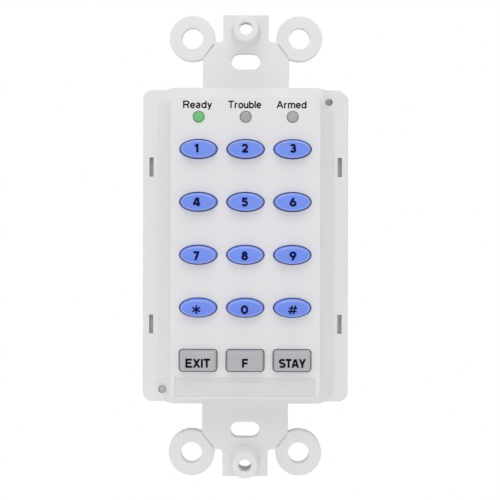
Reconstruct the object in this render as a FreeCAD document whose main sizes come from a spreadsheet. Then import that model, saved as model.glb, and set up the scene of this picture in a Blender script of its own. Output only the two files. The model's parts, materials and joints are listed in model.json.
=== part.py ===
import FreeCAD, Part
import math
import os
import re

import Sketcher

# Alarm keypad panel for a single-gang wall box, in millimetres.
# X runs to the right, Z up, and the front faces -Y. The wall plane, which the back of the
# mounting strap rests on, is y = 0, and the origin is the centre of the screw pattern.
# "Front" below is the distance from the wall plane towards the user, so front = -y.

SIZES = {
    # mounting strap, its ears and its screw holes
    "strap_width": 19.4,
    "strap_height": 92.2,
    "strap_thick": 1.8,
    "strap_edge_radius": 0.3,
    "tab_width": 10.2,
    "tab_height": 104.4,
    "shoulder_radius": 0.9,
    "ear_radius": 5.15,
    "ear_hole_radius": 2.4,
    "ear_spacing_wide": 24.2,
    "ear_spacing_high": 93.7,
    "score_length": 3.6,
    "score_width": 0.35,
    "score_depth": 0.35,
    "score_inset_wide": 1.35,
    "score_inset_high": 2.0,
    "score_slope": 52.0,
    "plate_screw_spacing": 96.8,
    "plate_screw_hole_radius": 1.4,
    "plate_boss_foot_radius": 3.4,
    "plate_boss_top_radius": 2.8,
    "plate_boss_height": 4.5,
    "plate_boss_edge_radius": 0.35,
    "plate_boss_top_thick": 1.6,
    "plate_boss_core_radius": 2.0,
    "plate_boss_hole_chamfer": 0.25,
    "box_screw_spacing": 83.3,
    "box_slot_length": 6.6,
    "box_slot_width": 3.6,
    # flange around the raised front
    "flange_width": 46.4,
    "flange_height": 70.5,
    "flange_corner": 2.2,
    "flange_cut": 1.85,
    "window_width": 0.95,
    "window_height": 4.3,
    "window_spacing_wide": 42.6,
    "window_spacing_high": 35.5,
    "locator_hole_radius": 0.85,
    "locator_x": 18.8,
    "locator_z": 32.5,
    # raised front, whose face fills the opening of a standard wall plate
    "face_front": 8.0,
    "face_width": 33.1,
    "face_height": 66.7,
    "face_corner": 2.0,
    "face_edge_radius": 0.35,
    "wall_draft": 0.25,
    "skirt_top_front": 5.2,
    "skirt_width": 40.1,
    "skirt_height": 71.4,
    "skirt_corner": 4.0,
    "notch_from_x": 17.45,
    "notch_from_z": 30.8,
    "face_thick": 1.7,
    "shelf_front": 4.4,
    "upper_room_width": 30.8,
    "upper_room_height": 63.6,
    "lower_room_width": 32.4,
    "lower_room_height": 65.8,
    "room_corner": 1.2,
    "panel_width": 30.8,
    "panel_height": 4.3,
    "panel_z": -30.65,
    "panel_depth": 0.2,
    "bar_width": 13.8,
    "bar_height": 2.5,
    "bar_proud": 0.1,
    # keys
    "column_pitch": 10.3,
    "row_pitch": 11.58,
    "top_row_z": 21.58,
    "key_hole_width": 8.5,
    "key_hole_height": 4.45,
    "key_gap": 0.18,
    "key_lip": 0.25,
    "key_lip_thick": 0.7,
    "key_bottom_front": 5.1,
    "key_proud": 1.5,
    "key_draft_wide": 0.42,
    "key_draft_high": 0.22,
    "key_edge_radius": 0.25,
    "function_row_z": -24.75,
    "function_hole_width": 8.55,
    "function_hole_height": 5.05,
    "function_corner": 0.7,
    "function_draft": 0.3,
    "function_edge_radius": 0.3,
    "pill_radius": 1.2,
    "pill_thick": 0.7,
    # silicone mat and the webs that carry the keys
    "mat_width": 31.6,
    "mat_height": 64.4,
    "mat_corner": 1.0,
    "mat_thick": 1.0,
    "chamber_gap": 0.3,
    "web_thick": 0.3,
    "web_foot": 0.17,
    # indicators
    "lens_z": 28.67,
    "lens_radius": 1.25,
    "lens_hole_radius": 1.32,
    "lens_proud": 0.25,
    "lens_flange_radius": 1.9,
    "lens_flange_thick": 1.0,
    "lens_bottom_front": 4.7,
    "indicator_hole_radius": 2.2,
    # circuit board, its posts and screws
    "board_width": 31.6,
    "board_height": 64.4,
    "board_corner": 0.8,
    "board_thick": 1.6,
    "post_radius": 1.6,
    "post_hole_radius": 0.8,
    "board_hole_radius": 1.0,
    "mat_post_hole_radius": 1.9,
    "screw_radius": 0.75,
    "screw_head_radius": 1.6,
    "screw_head_thick": 1.2,
    "screw_length": 4.0,
    "screw_slot_width": 0.4,
    "screw_slot_depth": 0.5,
    # rear housing
    "rear_width": 43.6,
    "rear_height": 66.4,
    "rear_depth": 13.0,
    "rear_corner": 2.5,
    "rear_wall": 1.6,
    "rear_edge_radius": 0.8,
    "tongue_thick": 0.85,
    "tongue_height": 4.1,
    "tongue_front": 0.3,
    "locator_pin_radius": 0.72,
    "low_pin_front": 1.6,
    "high_pin_front": 0.5,
    "plug_window_width": 18.0,
    "plug_window_height": 8.0,
    "plug_window_z": -27.0,
    "vent_radius": 0.7,
    "vent_pitch": 2.6,
    "label_width": 30.0,
    "label_height": 22.0,
    "label_corner": 1.0,
    "label_depth": 0.3,
    # parts on the back of the board
    "sounder_z": 25.0,
    "sounder_radius": 6.0,
    "sounder_height": 6.5,
    "sounder_wall": 0.6,
    "sounder_port_radius": 1.0,
    "sounder_ring_wall": 0.6,
    "disc_radius": 4.8,
    "disc_thick": 0.3,
    "disc_room": 3.0,
    "header_pins": 5,
    "header_pitch": 2.5,
    "header_width": 15.0,
    "header_depth": 5.8,
    "header_height": 7.0,
    "header_wall": 0.8,
    "header_floor": 2.5,
    "pin_side": 0.64,
    "pin_length": 6.0,
    "jumper_x": 11.6,
    "jumper_z": -13.5,
    "jumper_pitch": 2.54,
    "jumper_pin_length": 8.2,
    "shunt_height": 6.4,
    "lead_thick": 0.15,
    "controller_lead_width": 0.35,
    "controller_lead_reach": 1.0,
    "controller_lead_pitch": 0.8,
    "controller_leads": 11,
    "transceiver_lead_width": 0.4,
    "transceiver_lead_reach": 1.1,
    "transceiver_lead_pitch": 1.27,
    "transceiver_leads": 4,
    "capacitor_radius": 3.15,
    "capacitor_height": 7.5,
    "capacitor_x": 11.6,
    "capacitor_z": 24.0,
    "crystal_length": 10.5,
    "crystal_width": 4.4,
    "crystal_height": 3.5,
    "crystal_x": -9.0,
    "crystal_z": -9.0,
    "chip_part_length": 2.0,
    "chip_part_width": 1.25,
    "chip_part_pitch": 2.2,
    "chip_resistor_thick": 0.5,
    "chip_capacitor_thick": 0.9,
    # lamps on the front of the board
    "indicator_led_width": 2.0,
    "indicator_led_height": 1.25,
    "indicator_led_thick": 0.8,
    "backlight_led_width": 0.8,
    "backlight_led_height": 1.6,
    "backlight_led_thick": 0.55,
    "backlight_from_key": 2.9,
}

# Packages on the back of the board: width, height, thickness, x and z.
PACKAGES = {
    "microcontroller": (10.0, 10.0, 1.4, -7.0, 3.0),
    "bus_transceiver": (4.9, 3.9, 1.5, 8.0, -6.0),
    "voltage_regulator": (6.5, 3.5, 1.6, 9.5, 9.0),
    "input_diode": (4.4, 2.6, 2.2, 11.5, 3.5),
}
for label, package_sizes in PACKAGES.items():
    for field, size in zip(("width", "height", "thick", "x", "z"), package_sizes):
        SIZES[f"{label}_{field}"] = size

# Rows of chip resistors and capacitors: how many, the first one's x and z, and whether the row
# runs along x.
RESISTOR_ROWS = ((8, -13.5, 12.4, False), (3, 2.0, -12.0, True))
CAPACITOR_ROWS = ((6, -10.3, 12.4, False), (4, -14.0, -14.5, True))

KEY_ROWS = (("1", "2", "3"), ("4", "5", "6"), ("7", "8", "9"), ("star", "0", "hash"))
FUNCTION_KEYS = ("exit", "f", "stay")
LENS_NAMES = ("ready", "trouble", "armed")
SIDES = (-1, 1)
TOUCH = 0.001  # closer than this counts as the same place

doc = FreeCAD.newDocument("alarm_keypad")
sheet = doc.addObject("Spreadsheet::Sheet", "Sizes")
for row, (alias, size) in enumerate(SIZES.items(), start=1):
    sheet.set(f"A{row}", alias)
    sheet.set(f"B{row}", str(size))
    sheet.setAlias(f"B{row}", alias)
doc.recompute()

finished = []


# ---------------------------------------------------------------- expressions

def bound(text):
    """The expression with the sheet's name before each of its aliases."""
    def qualify(word):
        return "Sizes." + word.group() if word.group() in SIZES else word.group()
    return re.sub(r"[a-z_]+", qualify, str(text))


def number(text):
    """The expression's value now, in millimetres."""
    return float(sheet.evalExpression(bound(text)))


def bind(thing, **properties):
    """Bind properties of an object; Placement parts are given as x, y and z."""
    for name, text in properties.items():
        path = f"Placement.Base.{name}" if name in ("x", "y", "z") else name
        thing.setExpression(path, bound(text))
    return thing


def finish(thing, label):
    """Keep an object as the sub-part with this label."""
    thing.Label = label
    finished.append(thing)
    return thing


# ---------------------------------------------------------------- sketches and features

def new_body(label):
    return doc.addObject("PartDesign::Body", "Body_" + label)


def new_sketch(body, front, x=0, z=0):
    """A sketch facing the user, its origin at x, z and this far in front of the wall."""
    sketch = body.newObject("Sketcher::SketchObject", "Sketch")
    plane = next(item for item in body.Origin.OriginFeatures if item.Role == "XZ_Plane")
    sketch.AttachmentSupport = [(plane, "")]
    sketch.MapMode = "FlatFace"
    sketch.setExpression("AttachmentOffset.Base.x", bound(x))
    sketch.setExpression("AttachmentOffset.Base.y", bound(z))
    sketch.setExpression("AttachmentOffset.Base.z", bound(front))
    return sketch


def constrain(sketch, kind, *items, size=None):
    """Add one constraint, bound to an expression where it has a size."""
    if size is None:
        sketch.addConstraint(Sketcher.Constraint(kind, *items))
        return
    index = sketch.addConstraint(Sketcher.Constraint(kind, *items, number(size)))
    sketch.setExpression(f"Constraints[{index}]", bound(size))


def line(sketch, start, end):
    return sketch.addGeometry(Part.LineSegment(FreeCAD.Vector(*start, 0), FreeCAD.Vector(*end, 0)))


def arc(sketch, centre, radius, first, last):
    """An arc between two angles given in quarter turns."""
    quarter = math.pi / 2
    circle = Part.Circle(FreeCAD.Vector(*centre, 0), FreeCAD.Vector(0, 0, 1), radius)
    return sketch.addGeometry(Part.ArcOfCircle(circle, first * quarter, last * quarter))


def rectangle(sketch, width, height):
    """A rectangle centred on the sketch's origin."""
    half_w = number(width) / 2
    half_h = number(height) / 2
    corners = [(-half_w, -half_h), (half_w, -half_h), (half_w, half_h), (-half_w, half_h)]
    sides = [line(sketch, corners[i], corners[(i + 1) % 4]) for i in range(4)]
    for i in range(4):
        constrain(sketch, "Coincident", sides[i], 2, sides[(i + 1) % 4], 1)
        constrain(sketch, ("Horizontal", "Vertical")[i % 2], sides[i])
    constrain(sketch, "Symmetric", sides[0], 1, sides[2], 1, -1, 1)
    constrain(sketch, "DistanceX", sides[0], 1, sides[0], 2, size=width)
    constrain(sketch, "DistanceY", sides[1], 1, sides[1], 2, size=height)
    return sketch


def rounded_rectangle(sketch, width, height, corner):
    """A rectangle with round corners, centred on the sketch's origin."""
    radius = number(corner)
    half_w = number(width) / 2
    half_h = number(height) / 2
    in_w = half_w - radius
    in_h = half_h - radius
    bottom = line(sketch, (-in_w, -half_h), (in_w, -half_h))
    low_right = arc(sketch, (in_w, -in_h), radius, 3, 4)
    right = line(sketch, (half_w, -in_h), (half_w, in_h))
    high_right = arc(sketch, (in_w, in_h), radius, 0, 1)
    top = line(sketch, (in_w, half_h), (-in_w, half_h))
    high_left = arc(sketch, (-in_w, in_h), radius, 1, 2)
    left = line(sketch, (-half_w, in_h), (-half_w, -in_h))
    low_left = arc(sketch, (-in_w, -in_h), radius, 2, 3)
    loop = [bottom, low_right, right, high_right, top, high_left, left, low_left]
    for i, item in enumerate(loop):
        constrain(sketch, "Tangent", item, 2, loop[(i + 1) % 8], 1)
    for flat in (bottom, top):
        constrain(sketch, "Horizontal", flat)
    for upright in (right, left):
        constrain(sketch, "Vertical", upright)
    for bend in (high_right, high_left, low_left):
        constrain(sketch, "Equal", low_right, bend)
    constrain(sketch, "Symmetric", low_left, 3, high_right, 3, -1, 1)
    constrain(sketch, "Radius", low_right, size=corner)
    constrain(sketch, "DistanceX", left, 1, right, 1, size=width)
    constrain(sketch, "DistanceY", bottom, 1, top, 1, size=height)
    return sketch


def obround(sketch, length, width):
    """A slot lying along X, centred on the sketch's origin."""
    radius = number(width) / 2
    reach = number(length) / 2 - radius
    bottom = line(sketch, (-reach, -radius), (reach, -radius))
    right = arc(sketch, (reach, 0), radius, -1, 1)
    top = line(sketch, (reach, radius), (-reach, radius))
    left = arc(sketch, (-reach, 0), radius, 1, 3)
    loop = [bottom, right, top, left]
    for i, item in enumerate(loop):
        constrain(sketch, "Tangent", item, 2, loop[(i + 1) % 4], 1)
    constrain(sketch, "Horizontal", bottom)
    constrain(sketch, "Symmetric", left, 3, right, 3, -1, 1)
    constrain(sketch, "Radius", right, size=f"({width}) / 2")
    constrain(sketch, "DistanceX", left, 3, right, 3, size=f"({length}) - ({width})")
    return sketch


def circle(sketch, radius):
    ring = sketch.addGeometry(Part.Circle(FreeCAD.Vector(), FreeCAD.Vector(0, 0, 1), number(radius)))
    constrain(sketch, "Coincident", ring, 3, -1, 1)
    constrain(sketch, "Radius", ring, size=radius)
    return sketch


def pad(body, sketch, length):
    """Grow from the sketch towards the user."""
    feature = body.newObject("PartDesign::Pad", "Pad")
    feature.Profile = sketch
    feature.setExpression("Length", bound(length))
    doc.recompute()
    return feature


def pocket(body, sketch, length):
    """Cut from the sketch towards the wall, and make sure that something was cut."""
    before = body.Shape.Volume
    feature = body.newObject("PartDesign::Pocket", "Pocket")
    feature.Profile = sketch
    feature.setExpression("Length", bound(length))
    doc.recompute()
    assert feature.Shape.Volume < before, f"{body.Name}: a pocket cut nothing"
    return feature


def loft(body, first, last):
    feature = body.newObject("PartDesign::AdditiveLoft", "Loft")
    feature.Profile = first
    feature.Sections = [last]
    feature.Ruled = True
    doc.recompute()
    return feature


def edge_names(shape, chosen):
    """Names of the edges whose bounding box passes the test."""
    return [f"Edge{i}" for i, edge in enumerate(shape.Edges, start=1) if chosen(edge.BoundBox)]


def edges_at_front(shape, front):
    """Names of the edges that lie flat at this distance in front of the wall."""
    def flat(box):
        return abs(box.YMin + front) < TOUCH and abs(box.YMax + front) < TOUCH
    return edge_names(shape, flat)


def edges_through(shape, x, z):
    """Names of the edges that run straight from the wall to the user at +-x, +-z."""
    def upright(box):
        return (abs(abs(box.Center.x) - x) < TOUCH and abs(abs(box.Center.z) - z) < TOUCH
                and box.XLength < TOUCH and box.ZLength < TOUCH)
    return edge_names(shape, upright)


def fillet(body, names, radius):
    base = body.Tip
    feature = body.newObject("PartDesign::Fillet", "Fillet")
    feature.Base = (base, names)
    feature.setExpression("Radius", bound(radius))
    doc.recompute()
    return feature


# ---------------------------------------------------------------- primitives

def block(width, height, depth, x=0, z=0, front=0, name="Block"):
    """A box centred on x and z that reaches from front towards the user by its depth."""
    box = doc.addObject("Part::Box", name)
    return bind(box, Length=width, Width=depth, Height=height, x=f"{x} - ({width}) / 2",
                y=f"-({front}) - ({depth})", z=f"{z} - ({height}) / 2")


def rod(radius, depth, x=0, z=0, front=0, name="Rod"):
    """A cylinder along Y that reaches from front towards the user by its depth."""
    cylinder = doc.addObject("Part::Cylinder", name)
    cylinder.Placement.Rotation = FreeCAD.Rotation(FreeCAD.Vector(1, 0, 0), 90)
    return bind(cylinder, Radius=radius, Height=depth, x=x, y=f"-({front})", z=z)


def cone(foot_radius, top_radius, depth, x=0, z=0, front=0, name="Cone"):
    """A cone along Y with its foot at front, narrowing towards the user."""
    taper = doc.addObject("Part::Cone", name)
    taper.Placement.Rotation = FreeCAD.Rotation(FreeCAD.Vector(1, 0, 0), 90)
    return bind(taper, Radius1=foot_radius, Radius2=top_radius, Height=depth,
                x=x, y=f"-({front})", z=z)


def oval_outline(width, height, x=0, z=0, front=0):
    """An ellipse facing the user."""
    outline = doc.addObject("Part::Ellipse", "Oval")
    outline.Placement.Rotation = FreeCAD.Rotation(FreeCAD.Vector(1, 0, 0), 90)
    return bind(outline, MajorRadius=f"({width}) / 2", MinorRadius=f"({height}) / 2",
                x=x, y=f"-({front})", z=z)


def oval(width, height, depth, x=0, z=0, front=0, name="OvalRod"):
    """An elliptical cylinder that reaches from front towards the user by its depth."""
    outline = oval_outline(width, height, x, z, front)
    prism = doc.addObject("Part::Extrusion", name)
    prism.Base = outline
    prism.DirMode = "Custom"
    prism.Dir = FreeCAD.Vector(0, -1, 0)
    prism.Solid = True
    return bind(prism, LengthFwd=depth)


def oval_loft(first, last):
    """A solid that tapers between two ellipses."""
    taper = doc.addObject("Part::Loft", "OvalLoft")
    taper.Sections = [first, last]
    taper.Solid = True
    taper.Ruled = True
    return taper


def fuse(things, name="Fusion"):
    if len(things) == 1:
        return things[0]
    union = doc.addObject("Part::MultiFuse", name)
    union.Shapes = things
    return union


def cut(base, tools, name="Cut"):
    result = doc.addObject("Part::Cut", name)
    result.Base = base
    result.Tool = fuse(tools)
    return result


def group(things, name="Group"):
    """Separate identical pieces kept in one node."""
    bundle = doc.addObject("Part::Compound", name)
    bundle.Links = things
    return bundle


def round_edges(base, radius, chosen):
    """Round the edges of an object that the chosen test picks."""
    doc.recompute()
    size = number(radius)
    indexes = [i for i, edge in enumerate(base.Shape.Edges, start=1) if chosen(edge.BoundBox)]
    rounded = doc.addObject("Part::Fillet", "Rounded")
    rounded.Base = base
    rounded.Edges = [(i, size, size) for i in indexes]
    return rounded


# ---------------------------------------------------------------- where the keys are

def number_key_places():
    """Name, x and z of each of the twelve number keys."""
    for row_index, names in enumerate(KEY_ROWS):
        for column, name in zip((-1, 0, 1), names):
            x = f"{column} * column_pitch"
            z = f"top_row_z - {row_index} * row_pitch"
            yield name, x, z


def function_key_places():
    """Name and x of each of the three function keys."""
    for column, name in zip((-1, 0, 1), FUNCTION_KEYS):
        yield name, f"{column} * column_pitch"


def post_places():
    """x and z of the four posts that carry the circuit board."""
    upper = "top_row_z - row_pitch / 2"
    lower = "(top_row_z - 3 * row_pitch + function_row_z) / 2"
    return [(f"{side} * column_pitch / 2", z) for side in SIDES for z in (upper, lower)]


INNER_FACE = "face_front - face_thick"
BOARD_FRONT = "shelf_front - mat_thick"
BOARD_BACK = "shelf_front - mat_thick - board_thick"


# ---------------------------------------------------------------- front housing

def front_housing():
    """The one-piece front: strap with its ears, flange and raised, hollow keypad face."""
    body = new_body("front")
    flange = rounded_rectangle(new_sketch(body, 0), "flange_width", "flange_height", "flange_corner")
    pad(body, flange, "strap_thick")
    pad(body, rectangle(new_sketch(body, 0), "strap_width", "strap_height"), "strap_thick")
    pad(body, rectangle(new_sketch(body, 0), "tab_width", "tab_height"), "strap_thick")
    for side in SIDES:
        for end in SIDES:
            place = (f"{side} * ear_spacing_wide / 2", f"{end} * ear_spacing_high / 2")
            pad(body, circle(new_sketch(body, 0, *place), "ear_radius"), "strap_thick")
    shoulders = edges_through(body.Shape, number("tab_width / 2"), number("strap_height / 2"))
    fillet(body, shoulders, "shoulder_radius")
    fillet(body, edges_at_front(body.Shape, number("strap_thick")), "strap_edge_radius")
    foot = rounded_rectangle(new_sketch(body, 0), "skirt_width", "skirt_height", "skirt_corner")
    pad(body, foot, "strap_thick")

    skirt_foot = new_sketch(body, "strap_thick")
    rounded_rectangle(skirt_foot, "skirt_width", "skirt_height", "skirt_corner")
    skirt_top = new_sketch(body, "skirt_top_front")
    wall_foot = ("face_width + 2 * wall_draft", "face_height + 2 * wall_draft", "face_corner")
    rounded_rectangle(skirt_top, *wall_foot)
    loft(body, skirt_foot, skirt_top)
    wall_start = rounded_rectangle(new_sketch(body, "skirt_top_front"), *wall_foot)
    wall_end = new_sketch(body, "face_front")
    rounded_rectangle(wall_end, "face_width", "face_height", "face_corner")
    loft(body, wall_start, wall_end)
    fillet(body, edges_at_front(body.Shape, number("face_front")), "face_edge_radius")

    logo_panel = new_sketch(body, "face_front", 0, "panel_z")
    pocket(body, rectangle(logo_panel, "panel_width", "panel_height"), "panel_depth")
    plain_bar = new_sketch(body, "face_front - panel_depth", 0, "panel_z")
    rounded_rectangle(plain_bar, "bar_width", "bar_height", "bar_height / 2 - 0.01")
    pad(body, plain_bar, "bar_proud")

    upper_room = new_sketch(body, INNER_FACE)
    rounded_rectangle(upper_room, "upper_room_width", "upper_room_height", "room_corner")
    pocket(body, upper_room, INNER_FACE)
    lower_room = new_sketch(body, "shelf_front")
    rounded_rectangle(lower_room, "lower_room_width", "lower_room_height", "room_corner")
    pocket(body, lower_room, "shelf_front")
    for x, z in post_places():
        post = circle(new_sketch(body, BOARD_FRONT, x, z), "post_radius")
        pad(body, post, f"face_front - face_thick - ({BOARD_FRONT}) + 0.1")
        pilot = circle(new_sketch(body, INNER_FACE, x, z), "post_hole_radius")
        pocket(body, pilot, f"face_front - face_thick - ({BOARD_FRONT})")

    solid = fuse([body] + [plate_boss(end) for end in SIDES], "Front_solid")
    return finish(cut(solid, front_cutters(), "front_housing"), "front_housing")


def plate_boss(end):
    """The tapered boss at one end that a wall plate rests on."""
    boss = cone("plate_boss_foot_radius", "plate_boss_top_radius", "plate_boss_height",
                z=f"{end} * plate_screw_spacing / 2", front="strap_thick")
    top = -number("strap_thick + plate_boss_height")
    return round_edges(boss, "plate_boss_edge_radius", lambda box: box.YMax < top + TOUCH)


def plate_boss_cutters(end):
    """The screw hole of a boss, its chamfered mouth, and the core behind its top."""
    place = f"{end} * plate_screw_spacing / 2"
    core_depth = "strap_thick + plate_boss_height - plate_boss_top_thick"
    hole = rod("plate_screw_hole_radius", "face_front + 2", z=place, front=-1)
    core = rod("plate_boss_core_radius", f"{core_depth} + 1", z=place, front=-1)
    mouth = cone("plate_screw_hole_radius - plate_boss_hole_chamfer",
                 "plate_screw_hole_radius + 2 * plate_boss_hole_chamfer",
                 "3 * plate_boss_hole_chamfer", z=place,
                 front="strap_thick + plate_boss_height - 2 * plate_boss_hole_chamfer")
    return [hole, core, mouth]


def front_cutters():
    """Everything that is cut out of the front housing's solid."""
    cutters = []
    through = "face_front + 2"
    for end in SIDES:
        cutters += plate_boss_cutters(end)
        slot_z = f"{end} * box_screw_spacing / 2"
        reach = "box_slot_length / 2 - box_slot_width / 2"
        cutters.append(block("box_slot_length - box_slot_width", "box_slot_width", through,
                             z=slot_z, front=-1))
        for side in SIDES:
            cutters.append(rod("box_slot_width / 2", through, x=f"{side} * ({reach})",
                               z=slot_z, front=-1))
    for side in SIDES:
        for end in SIDES:
            cutters.append(rod("ear_hole_radius", through, x=f"{side} * ear_spacing_wide / 2",
                               z=f"{end} * ear_spacing_high / 2", front=-1))
            cutters.append(block("window_width", "window_height", through, front=-1,
                                 x=f"{side} * window_spacing_wide / 2",
                                 z=f"{end} * window_spacing_high / 2"))
            cutters.append(score_groove(side, end))
    for side in SIDES:
        cutters.append(rod("locator_hole_radius", through, x=f"{side} * locator_x",
                           z=f"{side} * locator_z", front=-1))
        cutters.append(block("flange_width", "flange_height", "face_front", front="strap_thick",
                             x=f"{side} * (notch_from_x + flange_width / 2)",
                             z=f"{side} * (notch_from_z + flange_height / 2)"))
    cutters.append(flange_corner_cutter())
    for _, x, z in number_key_places():
        cutters.append(oval("key_hole_width", "key_hole_height", "face_thick + 1", x, z,
                            f"{INNER_FACE} - 0.5"))
    for _, x in function_key_places():
        cutters.append(rounded_block("function_hole_width", "function_hole_height",
                                     "face_thick + 1", "function_corner + key_gap",
                                     x, "function_row_z", f"{INNER_FACE} - 0.5"))
    for column in (-1, 0, 1):
        cutters.append(rod("lens_hole_radius", "face_thick + 1", f"{column} * column_pitch",
                           "lens_z", f"{INNER_FACE} - 0.5"))
    return cutters


def rounded_block(width, height, depth, corner, x=0, z=0, front=0):
    """A box with rounded upright corners, as a body of its own."""
    body = new_body("block")
    sketch = rounded_rectangle(new_sketch(body, front, x, z), width, height, corner)
    pad(body, sketch, depth)
    return body


def score_groove(side, end):
    """The groove along which a plaster ear breaks off the strap."""
    groove = block("score_length", "score_width", "score_depth + 1")
    turn = FreeCAD.Rotation(FreeCAD.Vector(0, 1, 0), side * end * number("score_slope"))
    groove.Placement.Rotation = turn
    half = turn.multVec(FreeCAD.Vector(number("score_length / 2"), 0, number("score_width / 2")))
    return bind(groove, x=f"{side} * (strap_width / 2 - score_inset_wide) - ({half.x})",
                y="-strap_thick - 1",
                z=f"{end} * (strap_height / 2 - score_inset_high) - ({half.z})")


def flange_corner_cutter():
    """Cuts the flange's upper right corner off at 45 degrees."""
    cutter = block("flange_cut * 4", "flange_cut * 2", "strap_thick + 2")
    cutter.Placement.Rotation = FreeCAD.Rotation(FreeCAD.Vector(0, 1, 0), 45)
    bind(cutter, x="flange_width / 2 - flange_cut - flange_cut * 0.5",
         y="-strap_thick - 1", z="flange_height / 2 + flange_cut * 0.5")
    return cutter


# ---------------------------------------------------------------- keys and silicone mat

def number_key(name, x, z):
    """An oval key: a straight stem in the face, a drafted top, and a lip behind the face."""
    width = "key_hole_width - 2 * key_gap"
    height = "key_hole_height - 2 * key_gap"
    lip = oval("key_hole_width + 2 * key_lip", "key_hole_height + 2 * key_lip",
               "key_lip_thick", x, z, "key_bottom_front")
    stem = oval(width, height, "face_front - key_bottom_front", x, z, "key_bottom_front")
    foot = oval_outline(width, height, x, z, "face_front")
    rim = oval_outline(f"{width} - 2 * key_draft_wide", f"{height} - 2 * key_draft_high", x, z,
                       "face_front + key_proud")
    crown = -number("face_front + key_proud")
    rounded = round_edges(oval_loft(foot, rim), "key_edge_radius",
                          lambda box: box.YMax < crown + TOUCH)
    finish(fuse([rounded, stem, lip], "key_" + name), "key_" + name)


def function_key(name, x):
    """A rectangular key with round corners, made up in the same way."""
    body = new_body("key_" + name)
    lip = new_sketch(body, "key_bottom_front", x, "function_row_z")
    rounded_rectangle(lip, "function_hole_width + 2 * key_lip",
                      "function_hole_height + 2 * key_lip", "function_corner + key_lip")
    pad(body, lip, "key_lip_thick")
    outline = ("function_hole_width - 2 * key_gap", "function_hole_height - 2 * key_gap",
               "function_corner")
    stem = new_sketch(body, "key_bottom_front", x, "function_row_z")
    pad(body, rounded_rectangle(stem, *outline), "face_front - key_bottom_front")
    foot = new_sketch(body, "face_front", x, "function_row_z")
    rounded_rectangle(foot, *outline)
    rim = new_sketch(body, "face_front + key_proud", x, "function_row_z")
    inset = "2 * (key_gap + function_draft)"
    rounded_rectangle(rim, f"function_hole_width - {inset}", f"function_hole_height - {inset}",
                      "function_corner")
    loft(body, foot, rim)
    fillet(body, edges_at_front(body.Shape, number("face_front + key_proud")),
           "function_edge_radius")
    finish(body, "key_" + name)


def contact_pill(name, x, z):
    """The conductive pill under a key, which closes the contact on the board."""
    pill = rod("pill_radius", "pill_thick", x, z, "key_bottom_front - pill_thick")
    finish(pill, "contact_pill_" + name)


def keypad_mat():
    """The silicone sheet on the board, with a chamber under each key."""
    body = new_body("mat")
    outline = new_sketch(body, BOARD_FRONT)
    rounded_rectangle(outline, "mat_width", "mat_height", "mat_corner")
    pad(body, outline, "mat_thick")
    depth = "mat_thick + 1"
    front = f"{BOARD_FRONT} - 0.5"
    wider = "2 * (key_lip + chamber_gap)"
    cutters = [oval(f"key_hole_width + {wider}", f"key_hole_height + {wider}", depth, x, z, front)
               for _, x, z in number_key_places()]
    cutters += [rounded_block(f"function_hole_width + {wider}", f"function_hole_height + {wider}",
                              depth, "function_corner + key_lip + chamber_gap", x,
                              "function_row_z", front) for _, x in function_key_places()]
    cutters += [rod("mat_post_hole_radius", depth, x, z, front) for x, z in post_places()]
    cutters += [rod("indicator_hole_radius", depth, f"{column} * column_pitch", "lens_z", front)
                for column in (-1, 0, 1)]
    finish(cut(body, cutters, "keypad_mat"), "keypad_mat")


def oval_shell(x, z):
    """A thin sloping web between the mat and the lip of an oval key."""
    foot = "2 * (key_lip + chamber_gap + web_foot)"
    head = "2 * (key_lip - web_thick)"
    skins = []
    for inset in ("0", "2 * web_thick"):
        low = oval_outline(f"key_hole_width + {foot} - {inset}",
                           f"key_hole_height + {foot} - {inset}", x, z, "shelf_front")
        high = oval_outline(f"key_hole_width + {head} + 2 * web_thick - {inset}",
                            f"key_hole_height + {head} + 2 * web_thick - {inset}",
                            x, z, "key_bottom_front")
        skins.append(oval_loft(low, high))
    return cut(skins[0], [skins[1]])


def box_shell(x):
    """The same web for a rectangular key."""
    foot = "2 * (key_lip + chamber_gap + web_foot)"
    body = new_body("web")
    low = new_sketch(body, "shelf_front", x, "function_row_z")
    rounded_rectangle(low, f"function_hole_width + {foot}", f"function_hole_height + {foot}",
                      "function_corner + key_lip + chamber_gap")
    high = new_sketch(body, "key_bottom_front", x, "function_row_z")
    rounded_rectangle(high, "function_hole_width + 2 * key_lip",
                      "function_hole_height + 2 * key_lip", "function_corner + key_lip")
    loft(body, low, high)
    inner = new_body("web_room")
    low = new_sketch(inner, "shelf_front", x, "function_row_z")
    rounded_rectangle(low, f"function_hole_width + {foot} - 2 * web_thick",
                      f"function_hole_height + {foot} - 2 * web_thick",
                      "function_corner + key_lip + chamber_gap - web_thick")
    high = new_sketch(inner, "key_bottom_front", x, "function_row_z")
    rounded_rectangle(high, "function_hole_width + 2 * key_lip - 2 * web_thick",
                      "function_hole_height + 2 * key_lip - 2 * web_thick",
                      "function_corner + key_lip - web_thick")
    loft(inner, low, high)
    return cut(body, [inner])


# ---------------------------------------------------------------- indicators

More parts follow.
